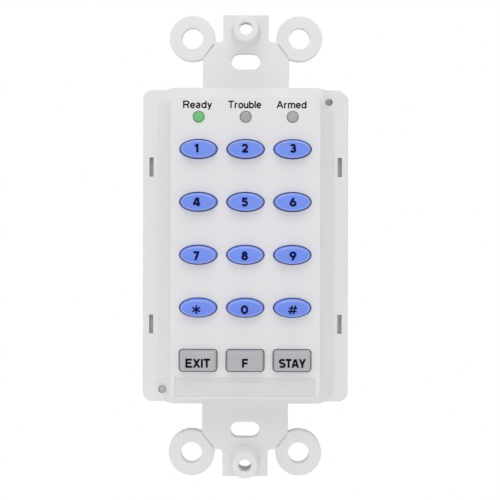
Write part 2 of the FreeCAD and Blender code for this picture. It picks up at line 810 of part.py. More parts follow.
def indicators():
    """Three lenses in the face, and the lamps on the board that light them and the keys."""
    lamps = []
    for column, name in zip((-1, 0, 1), LENS_NAMES):
        x = f"{column} * column_pitch"
        stem = rod("lens_radius", "face_front + lens_proud - lens_bottom_front", x, "lens_z",
                   "lens_bottom_front")
        crown = -number("face_front + lens_proud")
        dome = round_edges(stem, "lens_proud * 2", lambda box: box.YMax < crown + TOUCH)
        flange = rod("lens_flange_radius", "lens_flange_thick", x, "lens_z",
                     f"{INNER_FACE} - lens_flange_thick")
        finish(fuse([dome, flange], name + "_lens"), name + "_lens")
        lamps.append(block("indicator_led_width", "indicator_led_height", "indicator_led_thick",
                           x, "lens_z", BOARD_FRONT))
    finish(group(lamps, "indicator_leds"), "indicator_leds")
    backlights = [block("backlight_led_width", "backlight_led_height", "backlight_led_thick",
                        f"{x} + {side} * backlight_from_key", z, BOARD_FRONT)
                  for _, x, z in number_key_places() for side in SIDES]
    finish(group(backlights, "backlight_leds"), "backlight_leds")


# ---------------------------------------------------------------- circuit board

def circuit_board():
    body = new_body("board")
    outline = new_sketch(body, BOARD_BACK)
    rounded_rectangle(outline, "board_width", "board_height", "board_corner")
    pad(body, outline, "board_thick")
    for x, z in post_places():
        pocket(body, circle(new_sketch(body, BOARD_FRONT, x, z), "board_hole_radius"),
               "board_thick")
    finish(body, "circuit_board")


def board_screws():
    """Four slotted pan-head screws that hold the board to the posts."""
    screws = []
    for x, z in post_places():
        head_front = f"{BOARD_BACK} - screw_head_thick"
        head = rod("screw_head_radius", "screw_head_thick", x, z, head_front)
        shank = rod("screw_radius", "screw_length", x, z, BOARD_BACK)
        slot = block("screw_slot_width", "screw_head_radius * 3", "screw_slot_depth", x, z,
                     head_front)
        screws.append(cut(fuse([head, shank]), [slot]))
    finish(group(screws, "board_screws"), "board_screws")


def on_back(width, height, depth, x, z, lift="0"):
    """A box standing on the back of the board."""
    return block(width, height, depth, x, z, f"{BOARD_BACK} - ({lift}) - ({depth})")


def sounder():
    """The beeper: a round can with a port, and the piezo disc on its ring inside."""
    top = f"{BOARD_BACK} - sounder_height"
    disc_seat = f"{top} + sounder_wall + disc_room"
    can = rod("sounder_radius", "sounder_height", 0, "sounder_z", top)
    room = rod("sounder_radius - sounder_wall", "sounder_height - 2 * sounder_wall", 0,
               "sounder_z", f"{top} + sounder_wall")
    port = rod("sounder_port_radius", "sounder_wall * 2", 0, "sounder_z",
               f"{top} - sounder_wall / 2")
    finish(cut(can, [room, port], "sounder_case"), "sounder_case")
    ring = rod("disc_radius", "sounder_height - 2 * sounder_wall - disc_room", 0, "sounder_z",
               disc_seat)
    bore = rod("disc_radius - sounder_ring_wall", "sounder_height", 0, "sounder_z", top)
    finish(cut(ring, [bore], "sounder_ring"), "sounder_ring")
    disc = rod("disc_radius", "disc_thick", 0, "sounder_z", f"{disc_seat} - disc_thick")
    finish(disc, "sounder_disc")


def bus_connector():
    """The header for the data bus plug: an open shroud and its row of pins."""
    top = f"{BOARD_BACK} - header_height"
    shroud = block("header_width", "header_depth", "header_height", 0, "plug_window_z", top)
    room = block("header_width - 2 * header_wall", "header_depth - 2 * header_wall",
                 "header_height - header_floor + 1", 0, "plug_window_z", f"{top} - 1")
    latch_gap = block("header_width / 3", "header_wall * 3", "header_height - header_floor + 1",
                      0, "plug_window_z - header_depth / 2", f"{top} - 1")
    pins = []
    holes = []
    for index in range(SIZES["header_pins"]):
        x = f"({index} - (header_pins - 1) / 2) * header_pitch"
        pins.append(block("pin_side", "pin_side", "pin_length", x, "plug_window_z",
                          f"{BOARD_BACK} - pin_length"))
        holes.append(block("pin_side", "pin_side", "header_floor + 2", x, "plug_window_z",
                           f"{BOARD_BACK} - header_floor - 1"))
    finish(cut(shroud, [room, latch_gap] + holes, "bus_connector"), "bus_connector")
    finish(group(pins, "connector_pins"), "connector_pins")


def termination_jumper():
    """Two pins that end the data bus when the shunt bridges them."""
    base = on_back("2 * jumper_pitch", "jumper_pitch", "jumper_pitch", "jumper_x", "jumper_z")
    shunt = on_back("2 * jumper_pitch", "jumper_pitch", "shunt_height", "jumper_x", "jumper_z",
                    "jumper_pitch")
    places = [f"jumper_x + {side} * jumper_pitch / 2" for side in SIDES]

    def pins():
        return [on_back("pin_side", "pin_side", "jumper_pin_length", x, "jumper_z")
                for x in places]
    finish(cut(base, pins(), "jumper_base"), "jumper_base")
    finish(cut(shunt, pins(), "jumper_shunt"), "jumper_shunt")
    finish(group(pins(), "jumper_pins"), "jumper_pins")


def lead_row(label, leads, count, reach_from):
    """One row of leads on each of two opposite sides of a package, spread along x."""
    width, reach, pitch = (f"{leads}_lead_{field}" for field in ("width", "reach", "pitch"))
    return [on_back(width, reach, "lead_thick",
                    f"{label}_x + ({index} - ({count} - 1) / 2) * {pitch}",
                    f"{label}_z + {side} * ({reach_from} / 2 + {reach} / 2 - lead_thick)")
            for index in range(count) for side in SIDES]


def lead_column(label, leads, count, reach_from):
    """The same on the other two sides, spread along z."""
    width, reach, pitch = (f"{leads}_lead_{field}" for field in ("width", "reach", "pitch"))
    return [on_back(reach, width, "lead_thick",
                    f"{label}_x + {side} * ({reach_from} / 2 + {reach} / 2 - lead_thick)",
                    f"{label}_z + ({index} - ({count} - 1) / 2) * {pitch}")
            for index in range(count) for side in SIDES]


def packages():
    """The moulded packages, which stand just off the board, and the leads under two of them."""
    for label in PACKAGES:
        package = on_back(f"{label}_width", f"{label}_height", f"{label}_thick", f"{label}_x",
                          f"{label}_z", "lead_thick")
        finish(package, label)
    controller = ("microcontroller", "controller", SIZES["controller_leads"])
    transceiver = ("bus_transceiver", "transceiver", SIZES["transceiver_leads"])
    leads = lead_row(*controller, "microcontroller_height")
    leads += lead_column(*controller, "microcontroller_width")
    leads += lead_row(*transceiver, "bus_transceiver_height")
    finish(group(leads, "chip_leads"), "chip_leads")


def chip_row(thick, count, first_x, first_z, along_x):
    """A row of chip resistors or capacitors."""
    step = "chip_part_pitch"
    if along_x:
        return [on_back("chip_part_width", "chip_part_length", thick,
                        f"{first_x} + {index} * {step}", first_z) for index in range(count)]
    return [on_back("chip_part_length", "chip_part_width", thick, first_x,
                    f"{first_z} + {index} * {step}") for index in range(count)]


def passive_parts():
    """The filter capacitor, the crystal and the rows of chip parts."""
    can = rod("capacitor_radius", "capacitor_height", "capacitor_x", "capacitor_z",
              f"{BOARD_BACK} - capacitor_height")
    finish(can, "filter_capacitor")
    quartz = new_body("quartz")
    outline = new_sketch(quartz, f"{BOARD_BACK} - crystal_height", "crystal_x", "crystal_z")
    pad(quartz, obround(outline, "crystal_length", "crystal_width"), "crystal_height")
    finish(quartz, "crystal")
    resistors = [chip for row in RESISTOR_ROWS for chip in chip_row("chip_resistor_thick", *row)]
    finish(group(resistors, "chip_resistors"), "chip_resistors")
    capacitors = [chip for row in CAPACITOR_ROWS
                  for chip in chip_row("chip_capacitor_thick", *row)]
    finish(group(capacitors, "chip_capacitors"), "chip_capacitors")


# ---------------------------------------------------------------- rear housing

def rear_housing():
    """The tray behind the flange, with snap tongues, locating pins and the plug window."""
    body = new_body("rear")
    shell = rounded_rectangle(new_sketch(body, "-rear_depth"), "rear_width", "rear_height",
                              "rear_corner")
    pad(body, shell, "rear_depth")
    fillet(body, edges_at_front(body.Shape, -number("rear_depth")), "rear_edge_radius")
    room = new_sketch(body, 0)
    rounded_rectangle(room, "rear_width - 2 * rear_wall", "rear_height - 2 * rear_wall",
                      "rear_corner - rear_wall / 2")
    pocket(body, room, "rear_depth - rear_wall")
    window = rectangle(new_sketch(body, "rear_wall - rear_depth", 0, "plug_window_z"),
                       "plug_window_width", "plug_window_height")
    pocket(body, window, "rear_wall")
    label_seat = new_sketch(body, "label_depth - rear_depth")
    rounded_rectangle(label_seat, "label_width", "label_height", "label_corner")
    pocket(body, label_seat, "label_depth")

    added = [body]
    for side in SIDES:
        for end in SIDES:
            added.append(block("tongue_thick", "tongue_height", "tongue_front + 1", front=-1,
                               x=f"{side} * window_spacing_wide / 2",
                               z=f"{end} * window_spacing_high / 2"))
    for side, height in zip(SIDES, ("low_pin_front", "high_pin_front")):
        added.append(rod("locator_pin_radius", f"{height} + 1", f"{side} * locator_x",
                         f"{side} * locator_z", -1))
    vents = [rod("vent_radius", "rear_wall + 2", f"{column} * vent_pitch",
                 f"sounder_z + {line} * vent_pitch", "-rear_depth - 1")
             for column in (-1, 0, 1) for line in (-1, 0, 1)]
    finish(cut(fuse(added), vents, "rear_housing"), "rear_housing")


# ---------------------------------------------------------------- assembly

def build():
    front_housing()
    rear_housing()
    webs = []
    for name, x, z in number_key_places():
        number_key(name, x, z)
        contact_pill(name, x, z)
        webs.append(oval_shell(x, z))
    for name, x in function_key_places():
        function_key(name, x)
        contact_pill(name, x, "function_row_z")
        webs.append(box_shell(x))
    finish(group(webs, "mat_webs"), "mat_webs")
    keypad_mat()
    indicators()
    circuit_board()
    board_screws()
    sounder()
    bus_connector()
    termination_jumper()
    packages()
    passive_parts()
    doc.recompute()


def check_and_export():
    """Stop at anything that failed, then write one STEP file for each sub-part."""
    for thing in doc.Objects:
        bad = {"Invalid", "Error"} & set(thing.State)
        assert not bad, f"{thing.Name} ({thing.Label}) is {thing.State}"
    for thing in finished:
        assert not thing.Shape.isNull(), f"{thing.Label} has no shape"
        assert thing.Shape.isValid(), f"{thing.Label} has an invalid shape"
    os.makedirs("parts", exist_ok=True)
    for thing in finished:
        thing.Shape.exportStep(f"parts/{thing.Label}.step")
    print(len(finished), "sub-parts")


build()
check_and_export()
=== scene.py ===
"""Looks of the alarm keypad panel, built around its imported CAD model.

Lengths are in metres and the front faces -Y.
"""

import json
import math

import bmesh
import bpy
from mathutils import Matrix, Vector
from mathutils.geometry import delaunay_2d_cdt


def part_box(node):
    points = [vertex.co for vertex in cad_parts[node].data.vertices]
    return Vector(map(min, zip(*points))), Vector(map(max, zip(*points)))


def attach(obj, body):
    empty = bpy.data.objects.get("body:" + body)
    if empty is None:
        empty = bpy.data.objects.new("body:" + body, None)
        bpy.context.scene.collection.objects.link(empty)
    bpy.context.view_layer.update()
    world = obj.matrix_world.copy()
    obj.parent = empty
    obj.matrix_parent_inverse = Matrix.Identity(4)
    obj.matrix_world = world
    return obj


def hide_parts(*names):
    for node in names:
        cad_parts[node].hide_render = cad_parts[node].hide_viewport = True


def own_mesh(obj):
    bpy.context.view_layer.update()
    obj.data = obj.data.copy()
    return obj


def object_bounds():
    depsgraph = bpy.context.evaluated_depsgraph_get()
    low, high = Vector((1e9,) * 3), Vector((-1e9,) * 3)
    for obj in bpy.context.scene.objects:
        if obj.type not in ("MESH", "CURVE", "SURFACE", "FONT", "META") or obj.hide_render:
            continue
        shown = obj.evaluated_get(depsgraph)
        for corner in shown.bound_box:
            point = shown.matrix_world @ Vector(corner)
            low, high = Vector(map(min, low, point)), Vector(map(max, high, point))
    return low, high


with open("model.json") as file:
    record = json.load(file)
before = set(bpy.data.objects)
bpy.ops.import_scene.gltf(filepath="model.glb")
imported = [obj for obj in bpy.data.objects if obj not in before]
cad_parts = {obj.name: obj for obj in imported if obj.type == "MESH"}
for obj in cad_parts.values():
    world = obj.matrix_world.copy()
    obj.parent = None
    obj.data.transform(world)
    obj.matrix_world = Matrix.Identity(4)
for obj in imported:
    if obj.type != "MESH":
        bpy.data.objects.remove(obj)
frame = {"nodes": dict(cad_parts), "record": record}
cad_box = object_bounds()

MM = 0.001

NUMBER_KEYS = {"1": "1", "2": "2", "3": "3", "4": "4", "5": "5", "6": "6",
               "7": "7", "8": "8", "9": "9", "star": "*", "0": "0", "hash": "#"}
FUNCTION_KEYS = {"exit": "EXIT", "f": "F", "stay": "STAY"}
LENSES = {"ready": "Ready", "trouble": "Trouble", "armed": "Armed"}

# Sizes of the CAD model that its boxes don't give. A draft is how far a key's side leans in by its
# top, across and up.
STRAP_FRONT = 1.8 * MM
KEY_LIP = 0.25 * MM
KEY_GAP = 0.18 * MM
KEY_LIP_THICK = 0.7 * MM
NUMBER_DRAFT = (0.42 * MM, 0.22 * MM)
FUNCTION_DRAFT = (0.3 * MM, 0.3 * MM)
FUNCTION_CORNER = 0.7 * MM

# The print is a slab this thick, and the key under it lies this far behind the CAD key's top.
INK_THICK = 0.04 * MM
INK_PROUD = 0.015 * MM

OVAL_POINTS = 96

# Where the print lies on the keys: it is spread a little wider than the keys themselves.
PRINT_SPREAD_WIDE = 1.019
PRINT_SPREAD_HIGH = 0.0115
PRINT_LEVEL = 9 * MM
PRINT_SHIFT = -0.13 * MM
WORD_SHIFT = (0.03 * MM, -0.34 * MM)

DOME_LIGHT = 0.5
FLOOR_GLOW = 0.22

CAMERA_DISTANCE = 200 * MM
CAMERA_HEIGHT = 13.33 * MM
CAMERA_SIDE = 0.99 * MM
CAMERA_ROLL = math.radians(-0.15)
CAMERA_SHIFT = -0.1264
CAMERA_LENS = 63.65


# ---------------------------------------------------------------- materials

def srgb(red, green, blue):
    """Linear colour of an 8-bit display colour."""
    def linear(value):
        value /= 255
        return value / 12.92 if value <= 0.04045 else ((value + 0.055) / 1.055) ** 2.4
    return (linear(red), linear(green), linear(blue), 1)


def material(name, dark, light, roughness=(0.4, 0.5), grain=900, bump=0.02, patch=40, **sockets):
    """A shader whose colour drifts between two tints, with a fine grain in gloss and relief.

    grain and patch are how many features fit in a metre; bump is the depth of the grain.
    """
    made = bpy.data.materials.new(name)
    made.use_nodes = True
    nodes = made.node_tree.nodes
    links = made.node_tree.links
    shader = nodes["Principled BSDF"]
    place = nodes.new("ShaderNodeTexCoord")

    drift = nodes.new("ShaderNodeTexNoise")
    drift.inputs["Scale"].default_value = patch
    drift.inputs["Detail"].default_value = 4
    links.new(place.outputs["Object"], drift.inputs["Vector"])
    tint = nodes.new("ShaderNodeValToRGB")
    tint.color_ramp.elements[0].position = 0.3
    tint.color_ramp.elements[1].position = 0.7
    tint.color_ramp.elements[0].color = dark
    tint.color_ramp.elements[1].color = light
    links.new(drift.outputs["Fac"], tint.inputs["Fac"])
    links.new(tint.outputs["Color"], shader.inputs["Base Color"])

    fine = nodes.new("ShaderNodeTexNoise")
    fine.inputs["Scale"].default_value = grain
    fine.inputs["Detail"].default_value = 3
    links.new(place.outputs["Object"], fine.inputs["Vector"])
    gloss = nodes.new("ShaderNodeMapRange")
    gloss.inputs["To Min"].default_value = roughness[0]
    gloss.inputs["To Max"].default_value = roughness[1]
    links.new(fine.outputs["Fac"], gloss.inputs["Value"])
    links.new(gloss.outputs["Result"], shader.inputs["Roughness"])
    relief = nodes.new("ShaderNodeBump")
    relief.inputs["Strength"].default_value = 0.5
    relief.inputs["Distance"].default_value = bump * MM
    links.new(fine.outputs["Fac"], relief.inputs["Height"])
    links.new(relief.outputs["Normal"], shader.inputs["Normal"])

    for socket, value in sockets.items():
        shader.inputs[socket.replace("_", " ")].default_value = value
    return made


MATERIALS = {
    "white_plastic": material("white_plastic", srgb(231, 229, 230), srgb(235, 232, 234),
                              (0.42, 0.52), 2500, 0.012),
    # The rear housing is made light gray, darker than the white front, so its latch tongues deep
    # in the flange windows look shaded: painted shade.
    "rear_plastic": material("rear_plastic", srgb(192, 192, 194), srgb(198, 198, 200),
                             (0.5, 0.62), 1800, 0.03),
    "key_blue": material("key_blue", srgb(97, 133, 233), srgb(107, 140, 241), (0.28, 0.36), 2500,
                         0.006, Coat_Weight=0.3, Coat_Roughness=0.15),
    "key_gray": material("key_gray", srgb(177, 178, 184), srgb(185, 186, 192), (0.35, 0.45), 2500,
                         0.01),
    "silicone": material("silicone", srgb(196, 200, 210), srgb(204, 208, 216), (0.55, 0.7)),
    "carbon": material("carbon", srgb(26, 26, 27), srgb(34, 34, 35), (0.6, 0.8)),
    "green_lens": material("green_lens", srgb(106, 186, 116), srgb(116, 194, 126), (0.25, 0.35)),
    "gray_lens": material("gray_lens", srgb(164, 164, 166), srgb(174, 174, 176), (0.25, 0.35)),
    "led_white": material("led_white", srgb(232, 224, 170), srgb(240, 234, 190), (0.3, 0.4)),
    "board_green": material("board_green", srgb(12, 78, 42), srgb(18, 92, 50), (0.25, 0.4), 1500),
    "steel": material("steel", srgb(170, 172, 176), srgb(186, 188, 192), (0.25, 0.4), 2000, 0.01,
                      Metallic=1.0),
    "tin_plate": material("tin_plate", srgb(196, 196, 194), srgb(210, 210, 206), (0.2, 0.35), 2000,
                          0.01, Metallic=1.0),
    "brass": material("brass", srgb(196, 160, 84), srgb(210, 176, 98), (0.25, 0.4), 2000, 0.01,
                      Metallic=1.0),
    "black_plastic": material("black_plastic", srgb(28, 28, 30), srgb(38, 38, 40), (0.45, 0.6)),
    "nylon": material("nylon", srgb(224, 220, 204), srgb(232, 228, 214), (0.4, 0.5)),
    "aluminium_can": material("aluminium_can", srgb(188, 190, 194), srgb(200, 202, 206),
                              (0.2, 0.35), 2000, 0.01, Metallic=1.0),
    "resistor_black": material("resistor_black", srgb(22, 22, 24), srgb(30, 30, 32), (0.3, 0.4)),
    "capacitor_tan": material("capacitor_tan", srgb(150, 120, 86), srgb(164, 134, 98),
                              (0.35, 0.5)),
}
KEY_INK = material("key_ink", srgb(0, 6, 64), srgb(2, 10, 74), (0.5, 0.6), Specular_IOR_Level=0.1)
LABEL_INK = material("label_ink", srgb(4, 4, 6), srgb(8, 8, 10), (0.5, 0.6),
                     Specular_IOR_Level=0.1)
# The thin rounded edge of a blue key is painted paler than the key: a painted highlight along its
# rim.
KEY_RIM_HIGHLIGHT = material("key_rim_painted_highlight", srgb(139, 156, 231), srgb(147, 163, 237), (0.2, 0.3), 2500, 0.006,
                    Coat_Weight=0.5, Coat_Roughness=0.1)
# The floor of the brand panel has a coarser texture than the face round it.
PANEL_FINISH = material("panel_finish", srgb(223, 220, 223), srgb(226, 223, 226), (0.6, 0.7),
                        2500, 0.02)


def dress_cad_nodes():
    """Give every CAD node the material of its slot."""
    for part in frame["record"]["subparts"]:
        node = frame["nodes"][part["node"]]
        node.data.materials.clear()
        node.data.materials.append(MATERIALS[part["material_slot"]])


# ---------------------------------------------------------------- mesh helpers

def add_piece(name, mesh, finish, body):
    """Put a mesh in the scene as a piece that rides on a CAD body."""
    piece = bpy.data.objects.new(name, mesh)
    bpy.context.scene.collection.objects.link(piece)
    mesh.materials.clear()
    mesh.materials.append(finish)
    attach(piece, body)
    return piece


def stacked_rings(name, rings, closed=True):
    """A smooth mesh through rings of points, closed at both ends."""
    shape = bmesh.new()
    loops = [[shape.verts.new(point) for point in ring] for ring in rings]
    count = len(loops[0])
    for low, high in zip(loops, loops[1:]):
        for i in range(count):
            j = (i + 1) % count
            shape.faces.new((low[i], low[j], high[j], high[i]))
    if closed:
        shape.faces.new(reversed(loops[0]))
        shape.faces.new(loops[-1])
    bmesh.ops.recalc_face_normals(shape, faces=shape.faces)
    mesh = bpy.data.meshes.new(name)
    shape.to_mesh(mesh)
    shape.free()
    mesh.polygons.foreach_set("use_smooth", [True] * len(mesh.polygons))
    return mesh


def oval_ring(centre, half_wide, half_high, front, count=OVAL_POINTS):
    """Points of an ellipse that faces the user, this far in front of the wall."""
    ring = []
    for i in range(count):
        angle = 2 * math.pi * i / count
        ring.append((centre.x + half_wide * math.cos(angle), -front,
                     centre.z + half_high * math.sin(angle)))
    return ring


def box_ring(centre, half_wide, half_high, corner, front, steps=8):
    """Points of a rectangle with round corners that faces the user."""
    ring = []
    for quarter in range(4):
        side = 1 if quarter in (0, 3) else -1
        end = 1 if quarter in (0, 1) else -1
        for i in range(steps + 1):
            angle = math.pi / 2 * (quarter + i / steps)
            ring.append((centre.x + side * (half_wide - corner) + corner * math.cos(angle), -front,
                         centre.z + end * (half_high - corner) + corner * math.sin(angle)))
    return ring


# ---------------------------------------------------------------- keys

KEY_CROWN = 0.05 * MM
KEY_ROUND = 0.28 * MM
KEY_BOTTOM_INSET = 0.08 * MM
KEY_SOFT = 0.06 * MM
SIDE_RINGS = 7
ROUND_STEPS = 8
CROWN_STEPS = 9
HIGHLIGHT_BANDS = 6


def key_profile(bottom, face, top, draft):
    """Rings up a key's side and over its rim.

    Each is its inset from the lip's edge, across and up, and how far in front of the wall it is.
    """
    lip_top = bottom + KEY_LIP_THICK
    stem = KEY_LIP + KEY_GAP
    side = [(KEY_BOTTOM_INSET, bottom), (0, bottom + KEY_SOFT), (0, lip_top - KEY_SOFT),
            (KEY_SOFT, lip_top), (stem - KEY_SOFT, lip_top), (stem, lip_top + KEY_SOFT),
            (stem, face)]
    rings = [(inset, inset, front) for inset, front in side]
    rim = top - KEY_CROWN
    for step in range(ROUND_STEPS + 1):
        share = step / ROUND_STEPS
        below = KEY_ROUND * (1 - share) ** 2
        past = KEY_ROUND * share ** 2
        lean = below / (rim - face)
        rings.append((stem + draft[0] * (1 - lean) + past, stem + draft[1] * (1 - lean) + past,
                      rim - below))
    return rings


def key_mesh(name, node, oval):
    """A key with its lip, straight stem, drafted side, rounded rim and gently domed top."""
    low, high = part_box(node)
    centre = (low + high) / 2
    half_wide = (high.x - low.x) / 2
    half_high = (high.z - low.z) / 2
    face = -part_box("front_housing")[0].y
    top = -low.y - INK_PROUD

    def outline(inset_wide, inset_high, share, front):
        wide = (half_wide - inset_wide) * share
        tall = (half_high - inset_high) * share
        if oval:
            return oval_ring(centre, wide, tall, front)
        return box_ring(centre, wide, tall, FUNCTION_CORNER * share, front)

    profile = key_profile(-high.y, face, top, NUMBER_DRAFT if oval else FUNCTION_DRAFT)
    rings = [outline(wide, tall, 1, front) for wide, tall, front in profile]
    wide, tall, _ = profile[-1]
    for step in range(1, CROWN_STEPS):
        share = 1 - step / CROWN_STEPS
        rings.append(outline(wide, tall, share, top - KEY_CROWN * share ** 2))
    return stacked_rings(name, rings)


def make_keys():
    """A cap in place of each CAD key; the rounded edge of a number key is painted paler, a painted
    highlight.
    """
    for key in [*NUMBER_KEYS, *FUNCTION_KEYS]:
        oval = key in NUMBER_KEYS
        slot = "key_blue" if oval else "key_gray"
        node = f"key_{key}"
        mesh = key_mesh(f"{node}_cap", node, oval)
        piece = add_piece(f"{node}_cap", mesh, MATERIALS[slot], f"key_{key}_moving")
        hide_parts(node)
        if oval:
            # The upper bands of the rounded rim get the paler colour, a painted highlight.
            mesh.materials.append(KEY_RIM_HIGHLIGHT)
            last = (SIDE_RINGS + ROUND_STEPS) * OVAL_POINTS
            for face in mesh.polygons[last - HIGHLIGHT_BANDS * OVAL_POINTS:last]:
                face.material_index = 1


# ---------------------------------------------------------------- brand panel

PANEL_LEVEL = -30.65 * MM
PANEL_SINK = 0.2 * MM
TEXTURE_THICK = 0.03 * MM
# Width, height, corner radius, and how far it stands in front of the panel's floor.
TEXTURES = {"panel_floor": (30.76 * MM, 4.26 * MM, 0.03 * MM, 0),
            "bar_face": (13.76 * MM, 2.46 * MM, 1.22 * MM, 0.1 * MM)}


def make_panel():
    """The textured floor of the sunk panel under the function keys, and of the bar in it."""
    floor = -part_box("front_housing")[0].y - PANEL_SINK
    middle = Vector((0, 0, PANEL_LEVEL))
    for name, (width, height, corner, proud) in TEXTURES.items():
        rings = [box_ring(middle, width / 2, height / 2, corner, floor + proud + depth)
                 for depth in (-TEXTURE_THICK / 2, TEXTURE_THICK / 2)]
        mesh = stacked_rings(name, rings)
        mesh.polygons.foreach_set("use_smooth", [False] * len(mesh.polygons))
        add_piece(name, mesh, PANEL_FINISH, "housing")


# ---------------------------------------------------------------- lettering

# A glyph is its width and its strokes, in units of the height of its capitals. Strokes are
# straight with square ends (bar), straight with level ends (slant), or part of an ellipse (arc):
# centre, radii, and first and last angle in degrees. Points lie on a stroke's middle line.

NUMERALS = {
    "1": (0.36, [("slant", 0.25, 0, 0.25, 1), ("bar", 0.0, 0.70, 0.22, 0.88)]),
    "2": (0.68, [("arc", 0.33, 0.665, 0.225, 0.225, 175, -38), ("slant", 0.145, 0.11, 0.52, 0.545),
                 ("bar", 0.02, 0.11, 0.68, 0.11)]),
    "3": (0.66, [("arc", 0.30, 0.70, 0.20, 0.19, 160, -90), ("bar", 0.22, 0.51, 0.32, 0.51),
                 ("arc", 0.31, 0.31, 0.24, 0.20, 90, -160)]),
    "4": (0.8, [("slant", 0.11, 0.28, 0.44, 1), ("bar", 0.0, 0.28, 0.8, 0.28),
                ("slant", 0.57, 0, 0.57, 1)]),
    "5": (0.68, [("bar", 0.14, 0.89, 0.62, 0.89), ("slant", 0.14, 0.48, 0.19, 1),
                 ("arc", 0.31, 0.345, 0.255, 0.235, 122, -155)]),
    "6": (0.74, [("arc", 0.37, 0.345, 0.26, 0.235, 0, 360), ("slant", 0.145, 0.46, 0.43, 1)]),
    "7": (0.68, [("bar", 0.02, 0.89, 0.66, 0.89), ("slant", 0.22, 0, 0.55, 0.93)]),
    "8": (0.70, [("arc", 0.35, 0.725, 0.185, 0.165, 0, 360),
                 ("arc", 0.35, 0.315, 0.24, 0.205, 0, 360)]),
    "9": (0.74, [("arc", 0.37, 0.655, 0.26, 0.235, 0, 360), ("slant", 0.31, 0, 0.595, 0.54)]),
    "0": (0.78, [("arc", 0.39, 0.5, 0.28, 0.39, 0, 360)]),
    "#": (1.02, [("slant", 0.2, 0.0, 0.46, 1.0), ("slant", 0.56, 0.0, 0.82, 1.0),
                 ("bar", 0.0, 0.32, 0.94, 0.32), ("bar", 0.08, 0.68, 1.02, 0.68)]),
    "*": (0.96, [("bar", 0.48 - 0.5 * math.cos(turn), 0.5 - 0.5 * math.sin(turn),
                  0.48 + 0.5 * math.cos(turn), 0.5 + 0.5 * math.sin(turn))
                 for turn in (math.radians(30 + 60 * arm) for arm in range(3))]),
}
CAPITALS = {
    "E": (0.64, [("slant", 0.085, 0, 0.085, 1), ("bar", 0.05, 0.915, 0.62, 0.915),
                 ("bar", 0.05, 0.52, 0.58, 0.52), ("bar", 0.05, 0.085, 0.64, 0.085)]),
    "X": (0.72, [("slant", 0.1, 0, 0.62, 1), ("slant", 0.62, 0, 0.1, 1)]),
    "I": (0.17, [("slant", 0.085, 0, 0.085, 1)]),
    "T": (0.64, [("slant", 0.32, 0, 0.32, 1), ("bar", 0.0, 0.915, 0.64, 0.915)]),
    "F": (0.6, [("slant", 0.085, 0, 0.085, 1), ("bar", 0.05, 0.915, 0.6, 0.915),
                ("bar", 0.05, 0.5, 0.54, 0.5)]),
    "S": (0.68, [("arc", 0.34, 0.715, 0.25, 0.2, 25, 255), ("bar", 0.25, 0.535, 0.43, 0.475),
                 ("arc", 0.34, 0.29, 0.255, 0.205, 75, -160)]),
    "A": (0.76, [("slant", 0.09, 0, 0.34, 1), ("slant", 0.67, 0, 0.42, 1),
                 ("bar", 0.16, 0.3, 0.6, 0.3)]),
    "Y": (0.74, [("slant", 0.36, 0.38, 0.1, 1), ("slant", 0.38, 0.38, 0.64, 1),
                 ("slant", 0.37, 0, 0.37, 0.45)]),
}
LABELS = {
    "R": (0.7, [("slant", 0.06, 0, 0.06, 1), ("bar", 0.03, 0.945, 0.4, 0.945),
                ("bar", 0.03, 0.49, 0.4, 0.49), ("arc", 0.4, 0.7175, 0.225, 0.2275, 90, -90),
                ("slant", 0.62, 0, 0.4, 0.5)]),
    "T": (0.7, [("slant", 0.35, 0, 0.35, 1), ("bar", 0.0, 0.945, 0.7, 0.945)]),
    "A": (0.76, [("slant", 0.06, 0, 0.36, 1), ("slant", 0.7, 0, 0.4, 1),
                 ("bar", 0.14, 0.32, 0.62, 0.32)]),
    "a": (0.52, [("arc", 0.24, 0.53, 0.17, 0.135, 165, 0), ("slant", 0.41, 0.04, 0.41, 0.54),
                 ("arc", 0.23, 0.21, 0.175, 0.16, 60, 330), ("bar", 0.3, 0.36, 0.43, 0.41)]),
    "b": (0.56, [("slant", 0.06, 0, 0.06, 1), ("arc", 0.29, 0.36, 0.21, 0.305, 0, 360)]),
    "d": (0.56, [("slant", 0.5, 0, 0.5, 1), ("arc", 0.27, 0.36, 0.21, 0.305, 0, 360)]),
    "e": (0.54, [("arc", 0.27, 0.36, 0.215, 0.305, 5, 325), ("bar", 0.06, 0.37, 0.5, 0.37)]),
    "l": (0.12, [("slant", 0.06, 0, 0.06, 1)]),
    "m": (0.84, [("slant", 0.06, 0, 0.06, 0.72), ("arc", 0.24, 0.49, 0.18, 0.175, 180, 0),
                 ("slant", 0.42, 0, 0.42, 0.5), ("arc", 0.6, 0.49, 0.18, 0.175, 180, 0),
                 ("slant", 0.78, 0, 0.78, 0.5)]),
    "o": (0.56, [("arc", 0.28, 0.36, 0.22, 0.305, 0, 360)]),
    "r": (0.34, [("slant", 0.06, 0, 0.06, 0.72), ("arc", 0.28, 0.44, 0.22, 0.22, 180, 85)]),
    "u": (0.52, [("slant", 0.06, 0.24, 0.06, 0.72), ("arc", 0.25, 0.24, 0.19, 0.185, 180, 350),
                 ("slant", 0.46, 0, 0.46, 0.72)]),
    "y": (0.52, [("slant", 0.27, 0.02, 0.06, 0.72), ("slant", 0.13, -0.24, 0.46, 0.72)]),
}

ARC_STEPS = 40
UNION_TOLERANCE = 1e-5


def band(points, weight, closed):
    """Quads of this width along a line of points, with mitred joints."""
    count = len(points)
    sides = []
    for i, point in enumerate(points):
        before = points[i - 1] if i or closed else point
        after = points[(i + 1) % count] if i < count - 1 or closed else point
        along = (after - before).normalized()
        across = Vector((-along.y, along.x)) * weight / 2
        sides.append((point + across, point - across))
    last = count if closed else count - 1
    return [(sides[i][0], sides[i][1], sides[(i + 1) % count][1], sides[(i + 1) % count][0])
            for i in range(last)]


